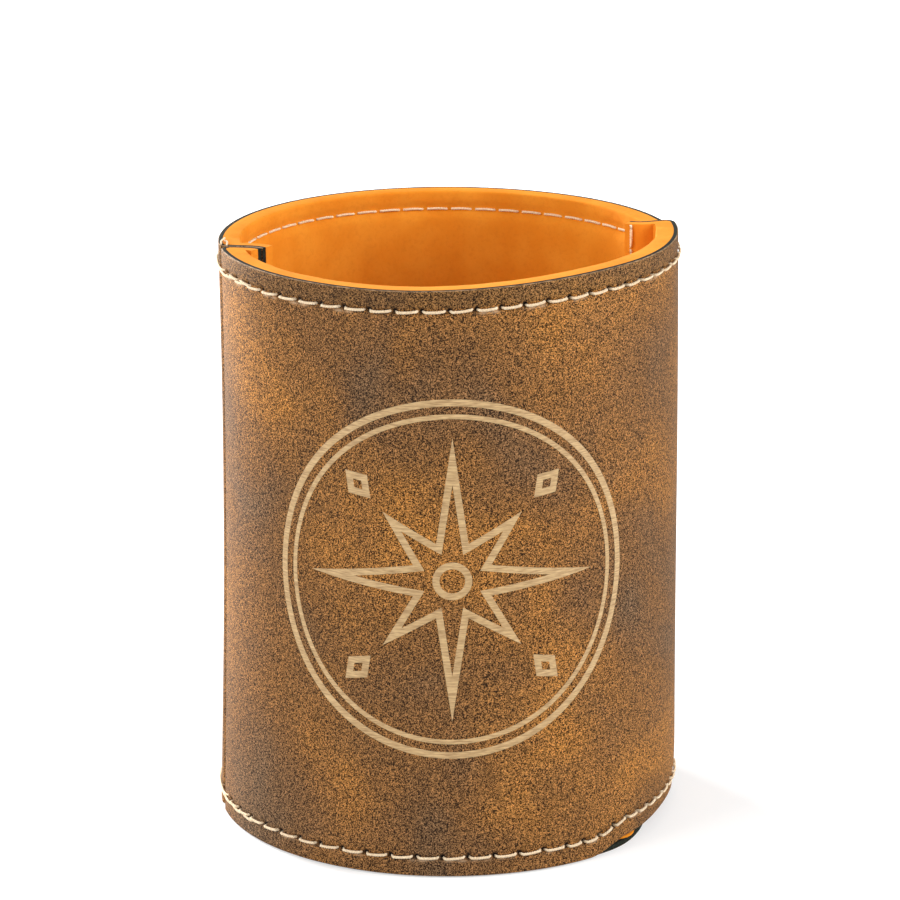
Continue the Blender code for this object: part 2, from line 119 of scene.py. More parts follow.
# Stitch rows, each with the angle of one hole and the steps from there to the left and to the right
ROW_INSET = 0.0032
TOP_ROW = WALL_TOP - ROW_INSET
BOTTOM_ROW = WALL_BOTTOM + ROW_INSET
ROW_STEPS = {
    TOP_ROW: (math.radians(-3.2), math.radians(6.5), math.radians(5.94)),
    BOTTOM_ROW: (math.radians(20.3), math.radians(6.325), math.radians(4.93)),
}
ROW_END = math.radians(86)
STITCH_PITCH = 0.004
HOLE_SPAN = 0.00045
HOLE_DEPTH = 0.00048
HOLE_RISE = 0.0001
HOLE_COLUMNS = (0.0, 0.00013, 0.00026, 0.0004, 0.0006)
LEAST_COLUMN = 0.00009
MOST_COLUMN = 0.00045
ROW_RINGS = (0.0, 0.00012, 0.00025, 0.0004, 0.0006, 0.00085, 0.0012)
AFTER_HOLE = 0.00014
BEFORE_HOLE = 0.00062
STITCH_LEAN = 0.00009
STITCH_LEAN_CHANGE = 0.00005
STITCH_SEAT = 0.0001
STITCH_LIFT = 0.00014
STITCH_DIVE = 0.0006
STITCH_SAG = 0.00011
TACK_SHIFT = 0.00028
TACK_STITCHES = 2
TACK_TURNS = ((-99, -84.5, 0.0006, -0.0001), (-98, -83, -0.0004, 0.0003), (-92, -79.5, 0.0001, -0.0004))
PLY_RADIUS = 0.00013
PLY_OFFSET = 0.00011
PLIES = 3
TWIST_PITCH = 0.0013
BOBBIN_LIFT = 0.0001
BOBBIN_SUNK = 0.0004
BOBBIN_SEAM_GAP = 0.0062
SEAM_STITCH_LIFT = 0.00025

# What the rows do to the covers: a groove, a pale patch of painted sheen below it, and a strip above it
# darkened with painted shade
FACE_REACH = 0.0009
ROW_REACH = 0.0016
GROOVE_DEPTH = 0.00012
GROOVE_SPAN = 0.0005
SHEEN_DROP = 0.00055
SHEEN_SPAN = 0.0002
SHEEN_ASIDE = 0.001
SHEEN_LENGTH = 0.0008
PAINTED_RIM_SHADE_EASE = 0.0006

# What they do to the foam, with its own unevenness, away from the seams
PINCH_DEPTH = 0.00045
PINCH_SPAN = 0.0011
FOAM_WAVE, FOAM_WAVE_SIZE = 0.00022, 0.0045
FOAM_GRAIN, FOAM_GRAIN_SIZE = 0.00008, 0.0014
SEAM_SIDE = 0.004
FOAM_EDGE_ZONE = 0.0056

# The loose thread ends on top of the seams, as points of (x, y, height over the rim)
LOOSE_ENDS = {
    -1: (
        (
            (-0.0369, 0.0010, 0.0001), (-0.0368, 0.0020, 0.0004),
            (-0.0363, 0.0032, 0.0003), (-0.0359, 0.0046, 0.0002),
        ),
        ((-0.0361, 0.0004, -0.0001), (-0.0358, 0.0016, 0.0004), (-0.0362, 0.0026, 0.0002)),
    ),
    1: (
        (
            (0.0354, 0.0008, 0.0001), (0.0345, 0.0011, 0.0004),
            (0.0335, 0.0020, 0.0003), (0.0324, 0.0025, 0.0002),
        ),
    ),
}

# Engraving
EMBLEM_HEIGHT = 0.0497
EMBLEM_TURN = math.radians(-9)
EMBLEM_LINE = 0.0011
EMBLEM_THIN_LINE = 0.00077
EMBLEM_RADIUS = 0.0295
EMBLEM_RING_STEP = 0.0024
EMBLEM_LONG_POINT = 0.0233
EMBLEM_SHORT_POINT = 0.0155
EMBLEM_WAIST = 0.0066
EMBLEM_HUB = 0.0031
EMBLEM_DIAMOND_REACH = 0.0213
EMBLEM_DIAMOND_LONG = 0.003
EMBLEM_DIAMOND_WIDE = 0.0022
EMBLEM_RISE = 0.00003
EMBLEM_SUNK = 0.0001
EMBLEM_STEP = 0.0004

# The camera, which looks at the front panel from a little to its left
CAMERA_DISTANCE = 0.650
CAMERA_HEIGHT = 0.2502
CAMERA_YAW = math.radians(-10)
CAMERA_PITCH = 0.2845
CAMERA_SIDE = 0.000275
CAMERA_LENS = 164.7

# Light: the world's strength on the sleeve, and what the floor adds near it where the camera sees it
WORLD_LIGHT = 0.38
FLOOR_GLOW = 0.45

FRONT, BACK = -1, 1


# Shapes


def offset(point, direction, distance):
    return point[0] + direction[0] * distance, point[1] + direction[1] * distance


def wobble(x, y, z):
    """How far hand-sewn walls stand off a true cylinder, the same through all their layers."""
    angle = math.atan2(y, x)
    hollow = HOLLOW_DEPTH * hump(math.atan2(x, -y), HOLLOW_ANGLE, HOLLOW_SPREAD)
    place_on_wall = Vector((math.cos(angle) * 1.3, math.sin(angle) * 1.3, z / 0.05))
    return WOBBLE * noise.noise(place_on_wall) - hollow * math.sin(math.pi * clamp(z / WALL_TOP))


def place(x, y, z):
    """A plan point at a height: the walls flare a little towards the bottom."""
    flare = clamp((WALL_TOP - z) / WALL_HEIGHT)
    radius = math.hypot(x, y)
    swell = 1 + wobble(x, y, z) / radius if radius else 1.0
    return Vector((
        x * (BODY_RADIUS + WIDTH_FLARE * flare) / BODY_RADIUS * swell,
        y * (BODY_RADIUS + DEPTH_FLARE * flare) / BODY_RADIUS * swell,
        z,
    ))


def hump(angle, middle, spread):
    """A smooth rise from 0 to 1 and back, as an angle passes a middle."""
    share = ((angle - middle + math.pi) % math.tau - math.pi) / spread
    return math.exp(-share * share)


def clamp(value):
    return min(max(value, 0.0), 1.0)


def on_wall(x, y, z, panel):
    """The place of a wall's point.

    At the right the walls ride up on the base and turn in, and the front panel stands higher.
    """
    angle = math.atan2(x, -y)
    share = clamp((RIDE_HALF - abs(angle - RIDE_MIDDLE)) / RIDE_EASE)
    low = max(1 - z / RIDE_FADE, 0.0)
    ride = RIDE_HEIGHT * share * share * (3 - 2 * share) * min(low * RIDE_EVEN, 1.0)
    tuck = TUCK_DEPTH * hump(angle, TUCK_ANGLE, TUCK_SPREAD) * low**4
    slope = clamp((angle - RISE_MIDDLE) / RISE_HALF / 2 + 0.5) if panel == FRONT else 0.0
    rise = RISE_HEIGHT * slope * slope * (3 - 2 * slope) * z / WALL_TOP
    scale = 1 - tuck / math.hypot(x, y)
    return place(x * scale, y * scale, z + ride + rise)


def hemmed(x, y, z):
    """The height of a cover's point, whose bottom edge runs over the base where it is inside it."""
    inside = clamp((SEAT_RADIUS - math.hypot(x, y)) / HEM_RUN)
    bottom = WALL_BOTTOM + (FOAM_BOTTOM - WALL_BOTTOM) * inside
    return bottom + (z - WALL_BOTTOM) * (HEM_TOP - bottom) / (HEM_TOP - WALL_BOTTOM) if z < HEM_TOP else z


def seam_normal(heading, panel):
    normal = (-math.sin(heading), math.cos(heading))
    return normal if normal[1] * panel > 0 else (-normal[0], -normal[1])


def circle_reach(start, direction, radius):
    half = start[0] * direction[0] + start[1] * direction[1]
    return -half + math.sqrt(half * half - start[0] ** 2 - start[1] ** 2 + radius**2)


def allowance(side, panel, depth, steps=6):
    """A surface of a seam allowance, from its tip to the end of its straight part."""
    heading, bend = SEAMS[side]
    turn = 1 if seam_normal(heading, panel)[0] == -math.sin(heading) else -1
    valley = (side * (BODY_RADIUS - VALLEY_DEPTH), 0.0)
    point = offset(valley, (math.cos(heading), math.sin(heading)), ALLOWANCE_STRAIGHT)
    line = [(point, heading)]
    for index in range(steps):
        middle = heading + bend * (index + 0.5) / steps
        point = offset(point, (math.cos(middle), math.sin(middle)), ALLOWANCE_TAIL / steps)
        line.append((point, heading + bend * (index + 1) / steps))
    distance = turn * (SEAM_GAP / 2 + depth)
    return [offset(spot, (-math.sin(angle), math.cos(angle)), distance) for spot, angle in reversed(line)]


def fold_end(side, panel, depth, steps=12):
    """A cover's surface from its allowance's tip round the fold, and the angle at which it meets the body."""
    heading = SEAMS[side][0]
    normal = seam_normal(heading, panel)
    outward = (-math.cos(heading), -math.sin(heading))
    valley = (side * (BODY_RADIUS - VALLEY_DEPTH), 0.0)
    start = offset(valley, normal, SEAM_GAP / 2 + FOLD_RADIUS)
    centre = offset(start, outward, circle_reach(start, outward, BODY_RADIUS - FOLD_RADIUS))
    first = math.atan2(-normal[1], -normal[0])
    last = math.atan2(centre[1], centre[0])
    turn = (last - first + math.pi) % math.tau - math.pi
    points = allowance(side, panel, depth)
    for index in range(steps + 1):
        angle = first + turn * index / steps
        points.append(offset(centre, (math.cos(angle), math.sin(angle)), FOLD_RADIUS - depth))
    return points, last


def crotch_end(side, panel, depth):
    """The foam's inner surface from its allowance's tip to its corner with the body, and the corner's angle."""
    heading = SEAMS[side][0]
    valley = (side * (BODY_RADIUS - VALLEY_DEPTH), 0.0)
    foam_face = LEATHER + SKIN_GAP + PINCHED_FOAM
    start = offset(valley, seam_normal(heading, panel), SEAM_GAP / 2 + foam_face)
    outward = (-math.cos(heading), -math.sin(heading))
    corner = offset(start, outward, circle_reach(start, outward, BODY_RADIUS - depth))
    return allowance(side, panel, foam_face) + [corner], math.atan2(corner[1], corner[0])


def row_holes(row):
    """The angles of a stitch row's needle holes, from the middle of a panel towards +X."""
    hole, left_step, right_step = ROW_STEPS[row]
    holes = [hole]
    while holes[0] - left_step > -ROW_END:
        holes.insert(0, holes[0] - left_step)
    while holes[-1] + right_step < ROW_END:
        holes.append(holes[-1] + right_step)
    return holes


def fine_turns(low, high):
    """Angles between two limits: close together at every needle hole of both rows."""
    holes = row_holes(TOP_ROW) + row_holes(BOTTOM_ROW)
    sides = [sign * gap / BODY_RADIUS for gap in HOLE_COLUMNS for sign in (-1, 1)]
    turns = sorted({hole + side for hole in holes for side in sides})
    kept = [low]
    for turn in turns + [high]:
        gap = turn - kept[-1]
        if turn > high or gap < LEAST_COLUMN / BODY_RADIUS:
            continue
        parts = math.ceil(gap * BODY_RADIUS / MOST_COLUMN)
        start = kept[-1]
        kept += [start + gap * part / parts for part in range(1, parts + 1)]
    return kept[1:-1]


def even_turns(low, high):
    count = max(2, round((high - low) / math.radians(1.0)))
    return [low + (high - low) * index / count for index in range(1, count)]


def body_arc(first, last, panel, radius, turns_between):
    """Points of the body's circle between two angles, by way of the panel's middle."""
    low = math.atan2(math.cos(first), panel * math.sin(first))
    high = math.atan2(math.cos(last), panel * math.sin(last))
    return [(radius * math.sin(turn), panel * radius * math.cos(turn)) for turn in turns_between(low, high)]


def sheet_line(panel, depth, turns_between=even_turns):
    left, left_angle = fold_end(-1, panel, depth)
    right, right_angle = fold_end(1, panel, depth)
    arc = body_arc(left_angle, right_angle, panel, BODY_RADIUS - depth, turns_between)
    return left + arc + right[::-1]


def lining_line(panel, depth):
    left, left_angle = crotch_end(-1, panel, depth)
    right, right_angle = crotch_end(1, panel, depth)
    arc = body_arc(left_angle, right_angle, panel, BODY_RADIUS - depth, even_turns)
    return left + arc + right[::-1]


def resampled(line, step):
    """The same line with its points at even steps."""
    lengths = [0.0]
    for a, b in zip(line, line[1:]):
        lengths.append(lengths[-1] + math.dist(a, b))
    count = max(1, round(lengths[-1] / step))
    points = []
    index = 0
    for number in range(count + 1):
        wanted = lengths[-1] * number / count
        while index < len(line) - 2 and lengths[index + 1] < wanted:
            index += 1
        share = (wanted - lengths[index]) / (lengths[index + 1] - lengths[index])
        a, b = line[index], line[index + 1]
        points.append((a[0] + (b[0] - a[0]) * share, a[1] + (b[1] - a[1]) * share))
    return points


def line_normals(line, panel):
    """Unit normals of a panel's face line, pointing away from its foam."""
    normals = []
    for index in range(len(line)):
        a = line[max(index - 1, 0)]
        b = line[min(index + 1, len(line) - 1)]
        along = (b[0] - a[0], b[1] - a[1])
        size = math.hypot(*along)
        normals.append((-panel * along[1] / size, panel * along[0] / size))
    return normals


# Meshes


def new_object(name, mesh_data, materials):
    """A smooth piece that rides on the sleeve and stands in for the CAD node of its name."""
    mesh = bpy.data.meshes.new(name)
    mesh_data.to_mesh(mesh)
    mesh_data.free()
    for material in materials:
        mesh.materials.append(material)
    mesh.shade_smooth()
    item = bpy.data.objects.new(name, mesh)
    bpy.context.scene.collection.objects.link(item)
    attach(item, "root")
    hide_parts(name)
    return item


def bridge(data, first, second, material=0, closed=False):
    """Joins two rows of vertices with a strip of faces."""
    count = len(first)
    for index in range(count if closed else count - 1):
        following = (index + 1) % count
        face = data.faces.new((first[index], first[following], second[following], second[index]))
        face.material_index = material


def row_heights():
    """Heights of the cover's rings: close together at the edges and the stitch rows."""
    rows = [ROW_INSET + sign * gap for gap in ROW_RINGS for sign in (-1, 1)]
    fine = sorted({*EDGE_RINGS, *rows})
    low, high = fine[-1], WALL_HEIGHT - fine[-1]
    middle = [low + (high - low) * index / MIDDLE_RINGS for index in range(1, MIDDLE_RINGS)]
    return [WALL_BOTTOM + height for height in fine + middle + [WALL_HEIGHT - h for h in reversed(fine)]]


def rounding(end, radius):
    """How far a rounded edge is drawn in, at a distance from the end of its sheet."""
    end = min(end, radius)
    return radius - math.sqrt(max(radius**2 - (radius - end) ** 2, 0.0))


def marks(x, y, height, panel, rows):
    """How far the face is drawn in at a place, how much of a needle hole it is, which also sets the painted
    shade in the hole, and how much painted sheen lies below the row.
    """
    if math.hypot(x, y) < BODY_RADIUS - FACE_REACH:
        return 0.0, 0.0, 0.0
    for row, holes in rows.items():
        rise = height - row
        if abs(rise) > ROW_REACH:
            continue
        turn = math.atan2(x, panel * y)
        groove = 0.0
        if holes[0] < turn < holes[-1]:
            groove = GROOVE_DEPTH * math.exp(-((rise / GROOVE_SPAN) ** 2))
        aside = min(abs(turn - hole) for hole in holes) * BODY_RADIUS
        hole = math.exp(-((aside**2 + (rise - HOLE_RISE) ** 2) / HOLE_SPAN**2))
        # Painted sheen: pale patches just below the row, uneven along it
        sheen_patches = clamp(noise.noise(Vector((turn * 9.0, row * 100, panel))) * 3)
        below = math.exp(-(((rise + SHEEN_DROP) / SHEEN_SPAN) ** 2))
        below *= math.exp(-(((aside - SHEEN_ASIDE) / SHEEN_LENGTH) ** 2))
        return groove + HOLE_DEPTH * hole, hole, below * sheen_patches
    return 0.0, 0.0, 0.0


def make_cover(name, panel, materials):
    """A panel's leatherette: its face, with dents, its back and its cut edges.

    The materials are those of the face, of the back and cut edges, and of the skin's own line.
    """
    line = sheet_line(panel, 0.0, fine_turns)
    normals = line_normals(line, panel)
    rows = {row: row_holes(row) for row in (TOP_ROW, BOTTOM_ROW)}
    data = bmesh.new()
    hole_layer = data.verts.layers.float.new("hole")
    painted_sheen_layer = data.verts.layers.float.new("painted_sheen")
    painted_rim_shade_layer = data.verts.layers.float.new("painted_rim_shade")
    rings = []
    heights = row_heights()
    for height in heights:
        rounded = rounding(min(height - WALL_BOTTOM, WALL_TOP - height), COVER_ROUNDING)
        ring = []
        for (x, y), (nx, ny) in zip(line, normals):
            dent, hole, painted_sheen = marks(x, y, height, panel, rows)
            inward = rounded + dent
            vertex = data.verts.new(on_wall(x - nx * inward, y - ny * inward, hemmed(x, y, height), panel))
            # How much painted shade the needle hole gets
            vertex[hole_layer] = hole
            # Painted sheen below the stitches
            vertex[painted_sheen_layer] = painted_sheen
            # Painted shade: the strip above the top row is darkened up to the rim
            vertex[painted_rim_shade_layer] = clamp((height - TOP_ROW) / PAINTED_RIM_SHADE_EASE)
            ring.append(vertex)
        rings.append(ring)
    backs = []
    for height in (WALL_BOTTOM, 0.004, 0.009, RIDE_FADE, 0.05, WALL_TOP):
        backs.append([
            data.verts.new(on_wall(x - nx * LEATHER, y - ny * LEATHER, hemmed(x, y, height), panel))
            for (x, y), (nx, ny) in zip(line, normals)
        ])
    for lower, upper, low, high in zip(rings, rings[1:], heights, heights[1:]):
        near_edge = high - WALL_BOTTOM < SKIN_LINE or WALL_TOP - low < SKIN_LINE
        bridge(data, lower, upper, 2 if near_edge else 0)
    for lower, upper in zip(backs, backs[1:]):
        bridge(data, upper, lower, 1)
    bridge(data, backs[0], rings[0], 1)
    bridge(data, rings[-1], backs[-1], 1)
    for column in (0, -1):
        border = [ring[column] for ring in rings] + [back[column] for back in reversed(backs)]
        face = data.faces.new(border)
        face.material_index = 1
    bmesh.ops.recalc_face_normals(data, faces=data.faces)
    item = new_object(name, data, materials)
    item.data.set_sharp_from_angle(angle=math.radians(50))


def ribbon_faces(outer, inner):
    """The triangles between two lines, as corners of the loop that follows one and returns by the other."""
    last = len(outer) + len(inner) - 1
    here = there = 0
    corners = []
    while here < len(outer) - 1 or there < len(inner) - 1:
        ahead = math.dist(outer[min(here + 1, len(outer) - 1)], inner[there])
        across = math.dist(outer[here], inner[min(there + 1, len(inner) - 1)])
        if there == len(inner) - 1 or (here < len(outer) - 1 and ahead <= across):
            corners.append((here, here + 1, last - there))
            here += 1
        else:
            corners.append((here, last - there - 1, last - there))
            there += 1
    return corners


def foam_pinch(x, y, height):
    """How far the foam's inner face is drawn in along the bobbin rows, and its slow unevenness."""
    pinch = 0.0
    for row in (TOP_ROW, BOTTOM_ROW):
        pinch += PINCH_DEPTH * math.exp(-(((height - row) / PINCH_SPAN) ** 2))
    wave = FOAM_WAVE * noise.noise(Vector((x, y, height * 0.4)) / FOAM_WAVE_SIZE)
    return pinch + wave + FOAM_GRAIN * noise.noise(Vector((x, y, height)) / FOAM_GRAIN_SIZE)


def make_lining(name, panel, material):
    """A panel's foam, against its leatherette from allowance to allowance."""
    outer = resampled(sheet_line(panel, LEATHER + SKIN_GAP), 0.0008)
    depth = LEATHER + SKIN_GAP + FOAM
    inner = resampled(lining_line(panel, depth), 0.0006)
    data = bmesh.new()
    foam_height = WALL_TOP - FOAM_BOTTOM
    fine = [0.0, 0.0001, FOAM_ROUNDING, 0.0006] + [0.0010 + 0.0004 * index for index in range(12)]
    middle = [FOAM_EDGE_ZONE + (foam_height - 2 * FOAM_EDGE_ZONE) * index / 30 for index in range(1, 30)]
    loops = []
    for value in fine + middle + [foam_height - value for value in reversed(fine)]:
        height = FOAM_BOTTOM + value
        rounded = rounding(min(value, foam_height - value), FOAM_ROUNDING)
        loop = [data.verts.new(on_wall(x, y, height, panel)) for x, y in outer]
        for x, y in reversed(inner):
            on_body = clamp((abs(y) - SEAM_SIDE) / SEAM_SIDE)
            push = (rounded + foam_pinch(x, y, height)) * on_body / math.hypot(x, y)
            loop.append(data.verts.new(on_wall(x * (1 + push), y * (1 + push), height, panel)))
        loops.append(loop)
    for lower, upper in zip(loops, loops[1:]):
        bridge(data, lower, upper, closed=True)
    corners = ribbon_faces(outer, inner)
    for loop in (loops[0], loops[-1]):
        for triangle in corners:
            data.faces.new([loop[corner] for corner in triangle])
    bmesh.ops.recalc_face_normals(data, faces=data.faces)
    item = new_object(name, data, [material])
    item.data.set_sharp_from_angle(angle=math.radians(50))


def base_radius(angle):
    """The base's outline, inside the walls.

    It peeps out a little where they ride up, and keeps clear of them at the right and at the left seam.
    """
    shy = BASE_SHY * hump(angle, SHY_ANGLE, SHY_SPREAD) + BASE_NOTCH * hump(angle, NOTCH_ANGLE, NOTCH_SPREAD)
    return SEAT_RADIUS + BASE_PEEP * hump(angle, PEEP_ANGLE, PEEP_SPREAD) - shy


def base_lining_radius(angle):
    """The base's foam, clear of the seam allowances."""
    seams = max(hump(angle, turn * math.pi / 2, SEAM_ROOM_SPREAD) for turn in (-1, 1))
    return LINING_RADIUS - LINING_SHY * hump(angle, SHY_ANGLE, SHY_SPREAD) - SEAM_ROOM * seams


def lip_radius(angle):
    """The lower part of the base's foam, which shows under the walls where they ride up."""
    return base_lining_radius(angle) + LIP_REACH * hump(angle, LIP_ANGLE, LIP_SPREAD)


def disc(name, profile, materials, edge_rows=()):
    """A disc from rings of (outline, inset from it, height), from the underside's middle up."""
    data = bmesh.new()
    rings = []
    for radius_of, inset, height in profile:
        ring = []
        for index in range(DISC_CORNERS):
            angle = math.tau * index / DISC_CORNERS - math.pi
            radius = radius_of(angle) - inset
            ring.append(data.verts.new(place(radius * math.sin(angle), -radius * math.cos(angle), height)))
        rings.append(ring)
    for row, (lower, upper) in enumerate(zip(rings, rings[1:])):
        bridge(data, lower, upper, 1 if row in edge_rows else 0, closed=True)
    for ring in (rings[0], rings[-1]):
        middle = data.verts.new((0.0, 0.0, ring[0].co.z))
        for index in range(DISC_CORNERS):
            data.faces.new((ring[index], ring[(index + 1) % DISC_CORNERS], middle))
    bmesh.ops.recalc_face_normals(data, faces=data.faces)
    item = new_object(name, data, materials)
    item.data.set_sharp_from_angle(angle=math.radians(50))
    return item


def make_base(leather, edge, foam):
    sides = ((0.004, 0.0), (0.0003, 0.0), (0.0001, 0.00005), (0.0, 0.00018), (0.0, BASE_LEATHER - 0.0001))
    sides += ((0.00008, BASE_LEATHER), (0.006, BASE_LEATHER))
    profile = [(base_radius, inset, height) for inset, height in sides]
    cover = disc("base_cover", profile, [leather, edge], edge_rows=(3, 4, 5))
    low = BASE_LEATHER + SKIN_GAP
    lip_top = low + LIP_THICKNESS
    profile = [
        (lip_radius, 0.0001, low), (lip_radius, 0.0, low + 0.00008), (lip_radius, 0.0, lip_top - 0.00008),
        (lip_radius, 0.0001, lip_top), (base_lining_radius, 0.0, lip_top + 0.0001),
        (base_lining_radius, 0.0, BASE_TOP - 0.0002), (base_lining_radius, 0.0002, BASE_TOP),
    ]
    seat = disc("base_lining", profile, [foam])


# Threads


def line_point(line, lengths, wanted):
    """The point of a line at a wanted length along it."""
    index = 0
    while index < len(line) - 2 and lengths[index + 1] < wanted:
        index += 1
    share = (wanted - lengths[index]) / (lengths[index + 1] - lengths[index])
    a, b = line[index], line[index + 1]
    return a[0] + (b[0] - a[0]) * share, a[1] + (b[1] - a[1]) * share


def twisted(data, path, sides=6, phase=0.0, scale=1.0):
    """Adds the plies of a twisted thread along a path of points."""
    lengths = [0.0]
    for a, b in zip(path, path[1:]):
        lengths.append(lengths[-1] + (b - a).length)
    for ply in range(PLIES):
        loops = []
        for index, point in enumerate(path):
            along = (path[min(index + 1, len(path) - 1)] - path[max(index - 1, 0)]).normalized()
            across = along.cross(Vector((0, 0, 1)))
            if across.length <= 0.2:
                across = along.cross(Vector((0, 1, 0)))
            across = across.normalized()
            rise = across.cross(along)
            turn = phase + math.tau * (lengths[index] / TWIST_PITCH + ply / PLIES)
            centre = point + (across * math.cos(turn) + rise * math.sin(turn)) * PLY_OFFSET * scale
            loops.append([
                data.verts.new(centre + (across * math.cos(a) + rise * math.sin(a)) * PLY_RADIUS * scale)
                for a in (math.tau * corner / sides for corner in range(sides))
            ])
        for first, second in zip(loops, loops[1:]):
            bridge(data, first, second, closed=True)
        data.faces.new(loops[0])
        data.faces.new(loops[-1])


def stitch(data, start, end, panel, row, lean, phase):
    """One outer stitch: it comes up at one angle, lies on the face and goes down at the other."""
    path = []
    steps = 22
    for step in range(steps + 1):
        share = step / steps
        turn = start + (end - start) * share
        bow = math.sin(math.pi * share)
        lift, dive = STITCH_LIFT * min(bow * 3.2, 1.0), STITCH_DIVE * max(1 - bow * 4.2, 0.0)
        radius = BODY_RADIUS + STITCH_SEAT + lift - dive
        height = row - STITCH_SAG * bow + 2 * lean * (share - 0.5)
        path.append(on_wall(radius * math.sin(turn), panel * radius * math.cos(turn), height, panel))
    twisted(data, path, phase=phase)


def needle_row(name, panel, row, material):
    """The outer stitches of a row, and the few that lock it at the left seam of the front."""
    holes = row_holes(row)
    data = bmesh.new()
    for number, (start, end) in enumerate(zip(holes, holes[1:])):
        lean = STITCH_LEAN + STITCH_LEAN_CHANGE * math.sin(number * 2.4)
        first, last = start + AFTER_HOLE / BODY_RADIUS, end - BEFORE_HOLE / BODY_RADIUS
        stitch(data, first, last, panel, row, lean, number * 1.7)
        if panel == FRONT and number < TACK_STITCHES:
            half = (end - start) * 0.45
            lift = TACK_SHIFT * (1 if row == TOP_ROW else -1)
            stitch(data, first + half, last + half * 0.8, panel, row + lift, -lean, number * 2.9)
    for start, end, from_height, to_height in TACK_TURNS if panel == FRONT else ():
        middle, lean = (from_height + to_height) / 2, (to_height - from_height) / 2
        stitch(data, math.radians(start), math.radians(end), panel, row + middle, lean, start)
    bmesh.ops.recalc_face_normals(data, faces=data.faces)
    new_object(name, data, [material])


def bobbin_row(name, panel, row, material):
    """The inner stitches of a row, sunk in the pinched foam."""
    depth = LEATHER + SKIN_GAP + FOAM
    line = [point for point in resampled(lining_line(panel, depth), 0.0005) if abs(point[1]) > BOBBIN_SEAM_GAP]
    step = math.dist(line[0], line[1])
    lengths = [index * step for index in range(len(line))]
    count = round(lengths[-1] / STITCH_PITCH)
    data = bmesh.new()
    for number in range(count):
        path = []
        for part in range(15):
            share = part / 14
            x, y = line_point(line, lengths, lengths[-1] * (number + 0.05 + 0.9 * share) / count)
            bow = math.sin(math.pi * share)
            inward = BOBBIN_LIFT * min(bow * 3, 1.0) - STITCH_DIVE * max(1 - bow * 4, 0.0) - BOBBIN_SUNK
            scale = 1 - inward / math.hypot(x, y)
            path.append(on_wall(x * scale, y * scale, row + 0.0001 * bow, panel))
        twisted(data, path, sides=5, phase=number * 2.1)
    bmesh.ops.recalc_face_normals(data, faces=data.faces)
    new_object(name, data, [material])


def loose_end(data, corners):
    """A thin strand along a few points, rounded off between them."""
    points = [Vector(corner) for corner in corners]
    for _ in range(3):
        cut = [points[0]]
        for a, b in zip(points, points[1:]):
            cut += [a.lerp(b, 0.25), a.lerp(b, 0.75)]
        points = cut + [points[-1]]
    twisted(data, points, sides=5, scale=0.7)


def seam_row(name, side, panel, material):
    """The stitches that close a side seam, down the foam of one allowance, and their loose ends on top."""
    tip, after = allowance(side, panel, LEATHER + SKIN_GAP + PINCHED_FOAM + 0.0002, steps=2)[:2]
    x, y = (tip[0] + after[0]) / 2, (tip[1] + after[1]) / 2
    low = BASE_TOP + 0.0003
    count = round((WALL_TOP - low) / STITCH_PITCH)
    pitch = (WALL_TOP - low) / count
    data = bmesh.new()
    for number in range(count):
        path = []
        for part in range(13):
            share = part / 12
            shift = SEAM_STITCH_LIFT * min(math.sin(math.pi * share) * 3, 1.0)
            path.append(on_wall(x, y + panel * shift, low + pitch * (number + 0.04 + 0.92 * share), panel))
        twisted(data, path, sides=5, phase=number * 1.3)
    for corners in LOOSE_ENDS[side]:
        loose_end(data, [(along, back, WALL_TOP + rise) for along, back, rise in corners])
    bmesh.ops.recalc_face_normals(data, faces=data.faces)
    new_object(name, data, [material])


# Engraving


def ring_band(radius, width):
    """The outer and inner line of a ring."""
    count = round(math.tau * radius / EMBLEM_STEP)
    turns = [math.tau * index / count for index in range(count)]
    sizes = (radius, radius - width)
    return [[(size * math.cos(turn), size * math.sin(turn)) for turn in turns] for size in sizes]


def edge_offset(corners, distance):
    """A polygon's corners with every edge moved inwards."""
    moved = []
    for index, corner in enumerate(corners):
        before, here = Vector(corners[index - 1]), Vector(corner)
        after = Vector(corners[(index + 1) % len(corners)])
        first, second = (here - before).normalized(), (after - here).normalized()
        side = Vector((-first.y, first.x))
        inward = (side + Vector((-second.y, second.x))).normalized()
        moved.append(tuple(here + inward * distance / inward.dot(side)))
    return moved


def outline_band(corners, width):
    """The outer and inner line of a polygon's outline, with points at small steps."""
    inner = edge_offset(corners, width)
    bands = ([], [])
    for index in range(len(corners)):
        following = (index + 1) % len(corners)
        parts = max(2, round(math.dist(corners[index], corners[following]) / EMBLEM_STEP))
        for band, edge in zip(bands, (corners, inner)):
            (x, y), (next_x, next_y) = edge[index], edge[following]
            dx, dy = next_x - x, next_y - y
            band += [(x + dx * part / parts, y + dy * part / parts) for part in range(parts)]
    return bands


def star_corners():
    corners = []
    for index in range(16):
        radius = EMBLEM_WAIST if index % 2 else (EMBLEM_SHORT_POINT if index % 4 == 2 else EMBLEM_LONG_POINT)
        turn = math.tau * index / 16
        corners.append((-radius * math.sin(turn), radius * math.cos(turn)))
    return corners


def diamond_corners(turn):
    corners = []
    for along, across in ((1, 0), (0, 1), (-1, 0), (0, -1)):
        x = EMBLEM_DIAMOND_REACH + along * EMBLEM_DIAMOND_LONG
        y = across * EMBLEM_DIAMOND_WIDE
        corners.append((x * math.cos(turn) - y * math.sin(turn), x * math.sin(turn) + y * math.cos(turn)))
    return corners


def on_cover(point, rise):
    """A flat point of the engraving, laid round the front cover's face."""
    turn = EMBLEM_TURN + point[0] / BODY_RADIUS
    radius = BODY_RADIUS + rise
    return place(radius * math.sin(turn), -radius * math.cos(turn), EMBLEM_HEIGHT + point[1])


